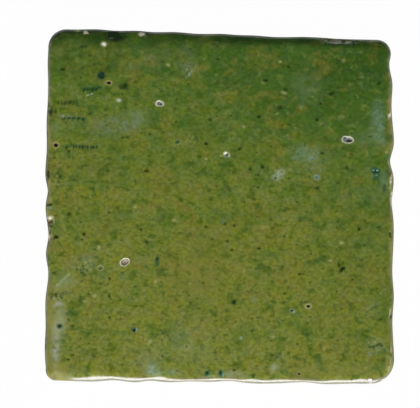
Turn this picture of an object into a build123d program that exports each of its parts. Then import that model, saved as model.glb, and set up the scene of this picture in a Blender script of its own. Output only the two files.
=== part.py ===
from build123d import *

import os
from dataclasses import dataclass
from math import cos, pi, radians, sin, tan

# A hand-cut square tile in glazed terracotta, lying on its bare back.
# Millimetres. +Z points out of the glazed face, +X and +Y run along its sides.
# The origin is on the back's plane, under the middle of the tile's outline.

# Body
FACE_WIDTH = 99.7  # between the left and right sides, mean
FACE_HEIGHT = 100.0  # between the lower and upper sides, mean
THICKNESS = 11.0  # back to the top of the crown
SIDE_LEAN = 6.0  # degrees that the sides run in towards the back
BACK_ARRIS = 0.7  # worn edge round the back
SMALLEST_RADIUS = 0.5  # least corner radius on any section

# Glazed roll that joins the face to the sides
ROLL_WIDTH = 3.0  # across the face
ROLL_DEPTH = 2.2  # down the side
ROLL_STEPS = 5  # strips round the roll, from the lip to the face

# Glazed face
CROWN = 0.4  # middle of the face above its edge
SWELL_HEIGHT = 0.09  # slow hand-pressed waves, each way from the crown
SWELL_LENGTH_X = 41.0
SWELL_LENGTH_Y = 53.0
FACE_STATIONS = 7  # points each way that carry the face's surface, odd to hold the crown


@dataclass
class Corner:
    """A corner of the face: how far it misses the true rectangle, and its rounding."""

    slip: tuple
    radius: float


# Anticlockwise from the lower left.
CORNERS = [
    Corner(slip=(-0.2, -0.1), radius=3.0),
    Corner(slip=(0.3, -1.2), radius=6.9),
    Corner(slip=(-0.75, -2.4), radius=4.0),
    Corner(slip=(0.65, 0.95), radius=5.2),
]

# The waves of each cut side, as (share of its run between two corner arcs, millimetres
# outwards). A side starts at the corner of the same number.
LOWER_WAVES = [(0.08, 0.2), (0.13, 0.16), (0.19, -0.2), (0.26, 0.26), (0.297, -0.22)]
LOWER_WAVES += [(0.335, 0.1), (0.42, -0.08), (0.5, -0.1), (0.56, -0.38), (0.6, 0.07)]
LOWER_WAVES += [(0.67, 0.28), (0.74, 0.0), (0.8, -0.24), (0.84, 0.17), (0.92, 0.1)]
RIGHT_WAVES = [(0.06, -0.17), (0.14, -0.25), (0.21, 0.18), (0.263, -0.11), (0.4, 0.3)]
RIGHT_WAVES += [(0.466, 0.19), (0.515, -0.14), (0.575, 0.4), (0.61, 0.24), (0.649, -0.5)]
RIGHT_WAVES += [(0.69, 0.4), (0.735, 0.58), (0.85, 0.12), (0.91, 0.3), (0.97, -0.43)]
UPPER_WAVES = [(0.13, -0.06), (0.22, 0.16), (0.343, -0.11), (0.4, 0.13), (0.45, 0.12)]
UPPER_WAVES += [(0.49, 0.27), (0.58, 0.06), (0.65, 0.31), (0.73, 0.1), (0.77, 0.26)]
UPPER_WAVES += [(0.85, 0.06), (0.89, 0.27), (0.965, 0.05)]
LEFT_WAVES = [(0.04, 0.14), (0.1, 0.0), (0.18, 0.12), (0.23, 0.34), (0.31, 0.22)]
LEFT_WAVES += [(0.36, 0.45), (0.41, 0.42), (0.445, -0.16), (0.48, 0.32), (0.54, 0.0)]
LEFT_WAVES += [(0.594, -0.33), (0.64, 0.25), (0.69, -0.4), (0.777, 0.23), (0.86, 0.13)]
LEFT_WAVES += [(0.956, 0.27)]
WAVES = [LOWER_WAVES, RIGHT_WAVES, UPPER_WAVES, LEFT_WAVES]
WAVES_AT_BACK = 0.55  # share of the waves that the back's outline keeps
WAVES_AT_FACE = 0.4  # share of the waves that the roll's inner edge keeps


@dataclass
class Pit:
    """A hollow in the glazed face, such as a burst bubble: its middle and its bowl."""

    x: float
    y: float
    length: float
    width: float
    depth: float
    turn: float = 0.0  # degrees that the length is turned from +X


PITS = [
    Pit(x=-27.1, y=-16.0, length=3.0, width=2.4, depth=0.6, turn=25.0),
    Pit(x=-17.1, y=29.5, length=2.3, width=1.7, depth=0.4),
    Pit(x=36.6, y=19.3, length=2.7, width=1.7, depth=0.55, turn=-10.0),
    Pit(x=-33.9, y=37.5, length=2.3, width=1.9, depth=0.3, turn=70.0),
    Pit(x=-30.0, y=48.6, length=5.4, width=2.6, depth=0.7, turn=-8.0),
    Pit(x=1.9, y=14.7, length=1.5, width=1.2, depth=0.3),
    Pit(x=-31.7, y=35.4, length=1.1, width=0.9, depth=0.35),
    Pit(x=-46.9, y=17.6, length=1.1, width=1.0, depth=0.35),
    Pit(x=-34.3, y=-17.6, length=1.7, width=1.3, depth=0.2, turn=30.0),
    Pit(x=25.5, y=-28.7, length=1.1, width=1.0, depth=0.35),
    Pit(x=21.0, y=-30.1, length=1.2, width=0.9, depth=0.3),
    Pit(x=-45.8, y=-34.4, length=1.4, width=1.2, depth=0.3),
    Pit(x=4.2, y=-27.5, length=1.4, width=1.1, depth=0.3, turn=45.0),
    Pit(x=-24.3, y=-35.5, length=1.2, width=0.9, depth=0.3),
]


@dataclass
class Chip:
    """A flake knocked off the roll: its side, its place along it and its scar."""

    side: int
    share: float
    length: float
    width: float
    bite: float


CHIP_ANGLE = pi / 4  # place round the roll where the chips sit, 0 at the lip
CHIPS = [
    Chip(side=0, share=0.921, length=3.0, width=1.6, bite=0.4),
    Chip(side=1, share=0.197, length=1.8, width=1.4, bite=0.4),
    Chip(side=1, share=0.437, length=2.0, width=1.4, bite=0.5),
    Chip(side=1, share=0.78, length=5.0, width=1.9, bite=0.45),
    Chip(side=2, share=0.15, length=10.0, width=2.4, bite=0.5),
    Chip(side=2, share=0.728, length=2.4, width=1.6, bite=0.4),
    Chip(side=2, share=0.888, length=1.8, width=1.3, bite=0.4),
    Chip(side=3, share=0.548, length=2.8, width=2.1, bite=0.6),
    Chip(side=3, share=0.6, length=4.0, width=1.8, bite=0.5),
]


def corner_points(inset):
    """Where the four sides would meet, with every side moved in by inset."""
    signs = [(-1, -1), (1, -1), (1, 1), (-1, 1)]
    true = [
        Vector(sx * FACE_WIDTH / 2 + c.slip[0], sy * FACE_HEIGHT / 2 + c.slip[1])
        for (sx, sy), c in zip(signs, CORNERS)
    ]
    moved = []
    for i, point in enumerate(true):
        before = (point - true[i - 1]).normalized()
        after = (true[(i + 1) % 4] - point).normalized()
        turn = before.get_angle(after)
        inward = (after - before).normalized()
        moved.append(point + inward * (inset / cos(radians(turn / 2))))
    return moved


def outline(height, inset, wave_share):
    """The tile's closed outline on one level: four waved sides and four arcs."""
    corners = corner_points(inset)
    ahead = [(corners[(i + 1) % 4] - p).normalized() for i, p in enumerate(corners)]
    arc_starts, arc_ends = [], []
    for i, point in enumerate(corners):
        radius = max(CORNERS[i].radius - inset, SMALLEST_RADIUS)
        trim = radius * tan(radians(ahead[i - 1].get_angle(ahead[i]) / 2))
        arc_starts.append(point - ahead[i - 1] * trim)
        arc_ends.append(point + ahead[i] * trim)
    edges = []
    for i in range(len(corners)):
        edges.append(TangentArc(arc_starts[i], arc_ends[i], tangent=ahead[i - 1]))
        outward = Vector(ahead[i].Y, -ahead[i].X)
        run = arc_starts[(i + 1) % 4] - arc_ends[i]
        waves = [
            arc_ends[i] + run * share + outward * (rise * wave_share)
            for share, rise in WAVES[i]
        ]
        stations = [arc_ends[i], *waves, arc_starts[(i + 1) % 4]]
        places = [0, *(share for share, _ in WAVES[i]), 1]
        tangents = [ahead[i], ahead[i]]
        edges.append(Edge.make_spline(stations, tangents=tangents, parameters=places))
    return Wire([edge.moved(Location((0, 0, height))) for edge in edges])


def side_inset(height):
    """How far the leaning side stands in from the lip at a height."""
    return (THICKNESS - CROWN - ROLL_DEPTH - height) * tan(radians(SIDE_LEAN))


def sections():
    """The outlines from the back to the face, as the tile's side and roll pass them."""
    lip = THICKNESS - CROWN - ROLL_DEPTH
    stack = [outline(0, side_inset(0) + BACK_ARRIS, WAVES_AT_BACK)]
    stack.append(outline(BACK_ARRIS, side_inset(BACK_ARRIS), WAVES_AT_BACK))
    stack.append(outline(lip / 2, side_inset(lip / 2), (1 + WAVES_AT_BACK) / 2))
    for step in range(ROLL_STEPS + 1):
        angle = step / ROLL_STEPS * pi / 2
        inward = 1 - cos(angle)
        wave_share = 1 - (1 - WAVES_AT_FACE) * inward
        stack.append(outline(lip + ROLL_DEPTH * sin(angle), ROLL_WIDTH * inward, wave_share))
    return stack


def face_height(x, y):
    """Height of the crowned, slowly waving face above the back."""
    u, v = 2 * x / (FACE_WIDTH - 2 * ROLL_WIDTH), 2 * y / (FACE_HEIGHT - 2 * ROLL_WIDTH)
    dome = (1 - u * u) * (1 - v * v)
    swell = cos(2 * pi * x / SWELL_LENGTH_X) * cos(2 * pi * y / SWELL_LENGTH_Y)
    return THICKNESS - CROWN + (CROWN + SWELL_HEIGHT * (swell - 1)) * dome


def glazed_face(rim):
    """The face's surface, from the roll's last outline over the crown."""
    shares = [(2 * i + 1) / FACE_STATIONS - 1 for i in range(FACE_STATIONS)]
    half_x, half_y = FACE_WIDTH / 2 - ROLL_WIDTH, FACE_HEIGHT / 2 - ROLL_WIDTH
    points = [
        (u * half_x, v * half_y, face_height(u * half_x, v * half_y))
        for u in shares
        for v in shares
    ]
    return Face.make_surface(rim.edges(), surface_points=points)


def blank():
    """The tile before any damage: the side, the roll, the face and the flat back."""
    stack = sections()
    wall = Shell.make_loft([*stack[:2]], ruled=True)
    side = Shell.make_loft(stack[1:4])
    roll = Shell.make_loft(stack[3:], ruled=True)
    top = glazed_face(stack[-1])
    back = Face(stack[0])
    faces = [*wall.faces(), *side.faces(), *roll.faces(), top, back]
    return Solid(Shell(faces))


def arc_radius(chord, rise):
    return (chord * chord / 4 + rise * rise) / (2 * rise)


def scoop(length, width, depth):
    """A round-ended bar along X, low enough to bite this long, wide and deep."""
    radius = arc_radius(width, depth)
    reach = (length - width) / 2
    half = Line((-reach - radius, 0), (reach + radius, 0))
    half += CenterArc((reach, 0), radius, 0, 90) + CenterArc((-reach, 0), radius, 90, 90)
    if reach > 0:
        half += Line((reach, radius), (-reach, radius))
    return Pos(0, 0, radius - depth) * revolve(make_face(half), Axis.X)


def pit_tool(pit):
    place = Pos(pit.x, pit.y, face_height(pit.x, pit.y)) * Rot(0, 0, pit.turn)
    return place * scoop(pit.length, pit.width, pit.depth)


def chip_tool(chip):
    """The scoop for a chip, square to the middle of the roll."""
    corners = corner_points(0)
    start, end = corners[chip.side], corners[(chip.side + 1) % 4]
    along = (end - start).normalized()
    outward = Vector(along.Y, -along.X)
    foot = start + (end - start) * chip.share
    foot = foot - outward * (ROLL_WIDTH * (1 - cos(CHIP_ANGLE)))
    foot = foot + Vector(0, 0, THICKNESS - CROWN - ROLL_DEPTH * (1 - sin(CHIP_ANGLE)))
    normal = outward * (cos(CHIP_ANGLE) / ROLL_WIDTH)
    normal = normal + Vector(0, 0, sin(CHIP_ANGLE) / ROLL_DEPTH)
    plane = Plane(origin=foot, x_dir=along, z_dir=normal)
    return plane.location * scoop(chip.length, chip.width, chip.bite)


def tile():
    """The whole tile, with its pits and chips, centred over the origin."""
    tools = [pit_tool(pit) for pit in PITS] + [chip_tool(chip) for chip in CHIPS]
    body = (blank() - tools).solid()
    box = body.bounding_box()
    return Pos(-box.center().X, -box.center().Y, -box.min.Z) * body


if __name__ == "__main__":
    os.makedirs("parts", exist_ok=True)
    export_step(tile(), "parts/glazed_tile.step")
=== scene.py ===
from collections import namedtuple
from itertools import starmap
from math import cos, pi, radians, sin, tan

import bmesh
import bpy
import numpy as np
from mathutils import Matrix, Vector, noise


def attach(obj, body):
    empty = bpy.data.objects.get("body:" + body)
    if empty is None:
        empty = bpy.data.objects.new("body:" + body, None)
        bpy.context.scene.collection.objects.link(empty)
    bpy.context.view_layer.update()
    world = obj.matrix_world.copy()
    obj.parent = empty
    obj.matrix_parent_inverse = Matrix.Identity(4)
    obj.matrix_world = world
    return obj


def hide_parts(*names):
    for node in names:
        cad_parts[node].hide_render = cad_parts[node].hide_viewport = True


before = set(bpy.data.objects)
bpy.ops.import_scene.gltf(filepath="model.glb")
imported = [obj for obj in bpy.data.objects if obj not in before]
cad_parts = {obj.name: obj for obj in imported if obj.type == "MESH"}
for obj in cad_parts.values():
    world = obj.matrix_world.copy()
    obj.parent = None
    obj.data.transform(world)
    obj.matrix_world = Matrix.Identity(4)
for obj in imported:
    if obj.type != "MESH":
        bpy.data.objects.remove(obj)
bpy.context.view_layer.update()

# A hand-cut square tile of terracotta with a copper-green lead glaze, lying on its back.
# The shape is worked out in millimetres, as in the part's source, and put into metres at the end.
MM = 0.001

# Body
FACE_WIDTH = 99.7
FACE_HEIGHT = 100.0
THICKNESS = 11.0
SIDE_LEAN = 6.0
BACK_ARRIS = 0.7
SMALLEST_RADIUS = 0.5

# Glazed roll and face
ROLL_WIDTH = 3.0
ROLL_DEPTH = 2.2
CROWN = 0.4
SWELL_HEIGHT = 0.09
SWELL_LENGTH_X = 41.0
SWELL_LENGTH_Y = 53.0
EDGE_HEIGHT = THICKNESS - CROWN  # of the face's edge
LIP_HEIGHT = EDGE_HEIGHT - ROLL_DEPTH  # of the widest outline

# Corners, anticlockwise from the lower left: (miss of the true rectangle, radius)
CORNER_SLIPS = np.array([(-0.2, -0.1), (0.3, -1.2), (-0.75, -2.4), (0.65, 0.95)])
CORNER_RADII = [3.0, 6.9, 4.0, 5.2]

# Waves of the cut sides: (share of the run between two corner arcs, millimetres outwards)
LOWER_WAVES = [
    (0.08, 0.2), (0.13, 0.16), (0.19, -0.2), (0.26, 0.26), (0.297, -0.22), (0.335, 0.1), (0.42, -0.08),
    (0.5, -0.1), (0.56, -0.38), (0.6, 0.07), (0.67, 0.28), (0.74, 0.0), (0.8, -0.24), (0.84, 0.17),
    (0.92, 0.1),
]
RIGHT_WAVES = [
    (0.06, -0.17), (0.14, -0.25), (0.21, 0.18), (0.263, -0.11), (0.4, 0.3), (0.466, 0.19), (0.515, -0.14),
    (0.575, 0.4), (0.61, 0.24), (0.649, -0.5), (0.69, 0.4), (0.735, 0.58), (0.85, 0.12), (0.91, 0.3),
    (0.97, -0.43),
]
UPPER_WAVES = [
    (0.13, -0.06), (0.22, 0.16), (0.343, -0.11), (0.4, 0.13), (0.45, 0.12), (0.49, 0.27), (0.58, 0.06),
    (0.65, 0.31), (0.73, 0.1), (0.77, 0.26), (0.85, 0.06), (0.89, 0.27), (0.965, 0.05),
]
LEFT_WAVES = [
    (0.04, 0.14), (0.1, 0.0), (0.18, 0.12), (0.23, 0.34), (0.31, 0.22), (0.36, 0.45), (0.41, 0.42),
    (0.445, -0.16), (0.48, 0.32), (0.54, 0.0), (0.594, -0.33), (0.64, 0.25), (0.69, -0.4), (0.777, 0.23),
    (0.86, 0.13), (0.956, 0.27),
]
WAVES = [LOWER_WAVES, RIGHT_WAVES, UPPER_WAVES, LEFT_WAVES]
WAVES_AT_BACK = 0.55
WAVES_AT_FACE = 0.4

# Mesh
SIDE_COLUMNS = 188  # along each side, so about half a millimetre apart
ROLL_BANDS = 16
SIDE_BANDS = 12

# Photograph: millimetres a pixel, and where the middle of the tile lies in it
PIXEL = 0.2874
PHOTO_WIDTH = 420
PHOTO_HEIGHT = 408
MIDDLE_ACROSS = 219.4
MIDDLE_DOWN = 206.9


def on_tile(across, down):
    """The place on the tile of a point of the photograph."""
    return (across - MIDDLE_ACROSS) * PIXEL, (MIDDLE_DOWN - down) * PIXEL


def linear(hexcode):
    """The linear colour of an sRGB hex value, at full cover."""
    parts = [int(hexcode[i : i + 2], 16) / 255 for i in (0, 2, 4)]
    return (*(c / 12.92 if c < 0.04045 else ((c + 0.055) / 1.055) ** 2.4 for c in parts), 1.0)


# Colours of the marks in the glaze
INK = linear("0E1606")  # deep pinhole that no light reaches
POOL = linear("1C3412")  # thick glaze run together in a hollow
NAVY = linear("1A382E")  # the same with cobalt in it
MOSS = linear("28461A")  # thick green glaze
GRASS = linear("4C6E2A")  # even green glaze
FERN = linear("2E5C3C")  # copper-rich glaze
DEEP_TEAL = linear("1E5A48")  # copper gathered round a burst bubble
TEAL = linear("4A7C5E")  # the same, thinner
CREAM = linear("E0DCC0")  # white slip showing at a crater's rim
BUFF = linear("A09A58")  # thin glaze that lets the body through
TAN = linear("8C8B48")  # the same over the roll
CLAY_ROSE = linear("A48E70")  # bare body at the bottom of a crater
CHALK = linear("DCC8AC")  # fresh scar of the body
SLATE = linear("666C60")  # old scar, thinly glazed over
STEEL = linear("7A8280")  # crazed film in a shallow crater, and painted reflection on the lower lip
MILK = linear("A6B490")  # milky bloom on the glaze
ASH = linear("B4B29E")  # grey-white bloom
SMOKE = linear("708260")  # blue-grey bloom
SEA = linear("7C9672")  # blue-green bloom
SPRUCE = linear("7F9E86")  # the same, bluer
AQUA_GLINT = linear("9CC8B8")  # painted highlight: cyan glint in a teal drop
OCHRE = linear("7E7A32")  # iron-stained glaze
LEMON = linear("A5A968")  # pale yellow speck
UMBER = linear("383A1A")  # dark olive-brown, along the lip and in chips
RUST = linear("7C5C2E")  # iron-rich glaze, and painted shade on the lower roll's left end
BARK = linear("4A3622")  # shaded body in a chip
PEWTER_SHEEN = linear("8C8478")  # greyed glaze and painted reflection on the lower roll
LILAC_GLINT = linear("D4CCCE")  # cool white chip facet: the chip is real, and its white is a painted highlight
SNOW_GLINT = linear("F2F0D6")  # painted highlight: a white glint on a pit's rim or on a raised speck
PINE = linear("16300F")  # thick glaze in a shaded hollow, and painted shade on the upper roll

# Marks in the glaze, by their place in the photograph, with sizes in millimetres and turns in degrees.
# Pits are burst bubbles and pinholes: rim is the height of the lip round one, dull how matt its floor is
PIT_FIELDS = "across down length width depth turn rim ring ring_amount ring_width"
PIT_FIELDS += " floor floor_amount halo halo_amount dull"
Pit = namedtuple("Pit", PIT_FIELDS, defaults=(0, 0.03, BUFF, 0.5, 0.3, INK, 0.9, OCHRE, 0, 0.7))
PITS = [
    (125, 262, 2.6, 1.9, 0.4, 25, 0.06, CREAM, 1, 0.16, BARK, 0.85, BUFF, 0.3, 0.9),
    (159.7, 103.6, 1.9, 1.4, 0.28, 0, 0.05, CREAM, 0.95, 0.18, STEEL, 0.9, MILK, 0.2),
    (347.2, 139.8, 2.8, 1.8, 0.4, -8, 0.05, CREAM, 0.95, 0.18, STEEL, 0.9, MILK, 0.3),
    (101.5, 75.7, 2.3, 1.9, 0.08, 70, 0.02, POOL, 0.3, 0.3, NAVY, 0.95, POOL, 0.2, 0.1),
    (115, 36.6, 5, 2.5, 0.5, -8, 0, POOL, 0.5, 0.4, PINE, 0.95, POOL, 0.3, 0.9),
    (226.5, 154.5, 1.3, 1.1, 0.2, 0, 0.04, MILK, 0.6, 0.2, DEEP_TEAL, 0.9, BUFF, 0.5, 0.5),
    (109, 83, 1.3, 1, 0.3, 0, 0.03, BUFF, 0.6, 0.25, INK, 1, BUFF, 0.4, 0.9),
    (56.3, 145, 1.3, 1.2, 0.3, 0, 0.03, BUFF, 0.6, 0.25, INK, 1, BUFF, 0.6, 0.9),
    (100.5, 267.8, 1.5, 1.2, 0.15, 30, 0.04, LEMON, 0.6, 0.2, MOSS, 0.7, LEMON, 0.2),
    (308, 306, 1.1, 0.9, 0.3, 0, 0.04, LEMON, 0.75, 0.4, INK, 1, OCHRE, 0.5, 0.9),
    (307, 301.5, 1.5, 0.6, 0.06, 15, 0.02, MOSS, 0.3, 0.3, POOL, 0.4),
    (291.6, 310.3, 1, 0.8, 0.25, 0, 0.03, MILK, 0.3, 0.25, INK, 0.85, MOSS, 0.3, 0.9),
    (60, 326, 1.4, 1.2, 0.05, 0, 0.02, FERN, 0.6, 0.25, POOL, 0.9, MILK, 0.3, 0.2),
    (233.8, 302, 1.3, 1, 0.05, 45, 0.02, MOSS, 0.6, 0.25, PINE, 0.85, MOSS, 0.2, 0.2),
    (134.8, 329.8, 1.3, 1, 0.05, 0, 0.02, DEEP_TEAL, 0.6, 0.25, PINE, 0.95, RUST, 0.35, 0.2),
    (299, 373.5, 0.9, 0.8, 0.2, 0, 0.02, BUFF, 0.6, 0.25, INK, 0.9, OCHRE, 0.3, 0.9),
    (186.5, 346, 1, 0.8, 0.1, 0, 0.02, LEMON, 0.3, 0.3, POOL, 0.6),
    (375.2, 171, 1.9, 1.4, 0.1, -30, 0, DEEP_TEAL, 0.8, 0.25, PINE, 0.9, FERN, 0.4, 0.9),
    (316.5, 177, 1.1, 1, 0.08, 0, 0.02, SPRUCE, 0.7, 0.25, DEEP_TEAL, 0.7, CLAY_ROSE, 0.35, 0.6),
    (177.5, 142, 1.2, 0.8, 0.1, 20, 0.02, FERN, 0.6, 0.22, PINE, 0.8, LEMON, 0.4),
]
PITS = list(starmap(Pit, PITS))

# Small dark, teal and pale spots. The dip is the depth of a spot's hollow, and below 0 its height
Spot = namedtuple("Spot", "across down length width colour amount turn dip", defaults=(0.8, 0, 0))
DENTED_DARK_SPOTS = [
    (124.5, 86.6, 3, 2.2, POOL, 0.85), (146, 171, 1.4, 1, INK, 0.85), (84, 234, 1.1, 0.9, INK),
    (56, 237, 1.4, 1.1, INK, 0.9), (69, 214, 1, 0.9, INK, 0.7), (141, 230, 1, 0.8, INK, 0.75),
    (146.7, 241.5, 1.3, 1.2, POOL), (157.6, 261, 1.5, 3.2, FERN, 0.9, -8),
    (157.2, 259, 0.9, 1.4, POOL, 0.8, -8), (101, 283.5, 1.2, 0.9, POOL, 0.7),
    (48, 175, 1.3, 2.4, INK, 0.9), (49.8, 204.8, 1.6, 0.8, PINE, 1, 10),
    (50.5, 112, 1.4, 2.4, POOL, 0.85, -15), (338.5, 265, 0.7, 1.8, INK, 0.75, 20),
    (342, 269, 2, 1.1, INK, 0.85, 40), (299.5, 274, 1.2, 0.8, INK, 0.8, 20),
    (303, 274, 1, 0.5, INK, 0.6, -30), (358.8, 229, 1.2, 1.1, INK, 0.9),
    (300, 219, 1.4, 1.8, POOL, 0.4, 25), (222, 222, 1.4, 1.3, TEAL, 0.4), (234.5, 225.5, 0.9, 0.8, INK),
    (225, 224, 1, 0.8, INK), (227, 241.5, 1, 0.8, INK), (232, 250, 0.9, 0.9, INK),
    (259, 248.5, 1.2, 1, POOL, 0.9), (206, 227, 1.2, 0.9, INK, 0.7), (212, 239, 0.8, 0.8, INK, 0.7),
    (234, 369.6, 1.1, 0.9, INK), (288, 67, 1.3, 1, INK, 0.85), (266, 81, 1.5, 1, INK),
    (285, 89.5, 1.3, 1, POOL, 0.6), (280, 108, 1.6, 1.2, POOL, 0.7), (331, 94, 1.5, 1.2, POOL, 0.8, 30),
    (320, 104, 1, 0.9, INK), (317, 119.5, 1.2, 1.1, INK), (259, 117, 1.1, 1, INK),
    (206, 144, 1.1, 0.9, INK, 0.85), (239.5, 149, 1, 0.9, INK), (262.5, 167, 1.4, 1, INK, 0.8, -25),
    (250, 169, 1, 0.8, INK, 0.6), (258, 175, 0.9, 0.7, INK, 0.75), (322, 153, 1.3, 1, POOL, 0.85),
    (379, 83, 1.3, 1, POOL, 0.8, 40), (376.6, 177, 2, 1.7, DEEP_TEAL, 0.7, 8), (317, 188, 1.4, 1.2, POOL),
    (347, 168, 1.4, 1.6, POOL, 0.7), (384, 188, 1, 2, POOL, 0.6, -10), (210, 120, 1.1, 1, POOL),
    (207, 373.4, 1.3, 1.6, DEEP_TEAL, 0.95), (220.6, 373, 1.3, 1.7, DEEP_TEAL, 0.95),
    (253, 375.5, 1.3, 1.4, POOL), (275.4, 178, 0.9, 0.7, NAVY), (281.2, 172.3, 0.7, 0.8, NAVY, 0.7),
    (63, 69.5, 1.4, 1, POOL, 0.85), (83, 47, 1.7, 1.1, POOL, 0.8, 10), (93, 355, 1.3, 1, POOL, 0.4),
    (372, 353, 1.4, 1, POOL, 0.3, 20), (380, 319, 1.1, 0.8, POOL, 0.7),
]
FLAT_DARK_SPOTS = [
    (344.8, 138.4, 1.1, 0.5, NAVY, 0.9, -10), (348.8, 141.2, 1.5, 0.8, INK, 1, -8),
    (158.8, 102.9, 0.6, 0.3, INK, 0.8, 30), (160.7, 104.5, 0.6, 0.3, INK, 0.8, -40),
    (124.6, 262.6, 1, 0.25, BARK, 0.85, 30), (50.5, 222.2, 1.7, 0.8, BARK, 0.95, 15),
    (50.8, 226.3, 1.2, 0.8, MOSS), (50.3, 232.5, 0.8, 1.6, UMBER), (56, 111, 0.7, 1.8, POOL, 0.6),
    (391.2, 316, 0.5, 1.3, BARK), (391, 355, 0.5, 1.2, BARK, 0.5, 10),
    (390.4, 237.3, 1.1, 0.4, BARK, 0.9, -20), (388.9, 173, 0.35, 2.6, BARK, 0.7),
    (343.5, 41, 1.3, 0.6, POOL, 0.9), (364, 41, 1.6, 0.8, POOL), (379.5, 43, 1, 0.8, POOL, 0.7),
    (207, 372.4, 0.6, 0.7, PINE, 0.9), (220.2, 372, 0.6, 0.8, PINE, 0.9),
    (381.5, 345.5, 1, 0.6, POOL, 0.7, 20), (384.5, 349.5, 0.7, 1.2, DEEP_TEAL, 0.5),
    (383, 360, 1.4, 1.2, POOL, 0.5), (370, 136.5, 1.3, 0.6, POOL, 0.7),
    (50.5, 41.3, 1.3, 4, PINE, 0.8, -26), (56.8, 34.2, 4.4, 1.5, PINE, 0.95, 38),
    (65, 32.5, 3.4, 1, POOL, 0.6),
]
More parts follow.
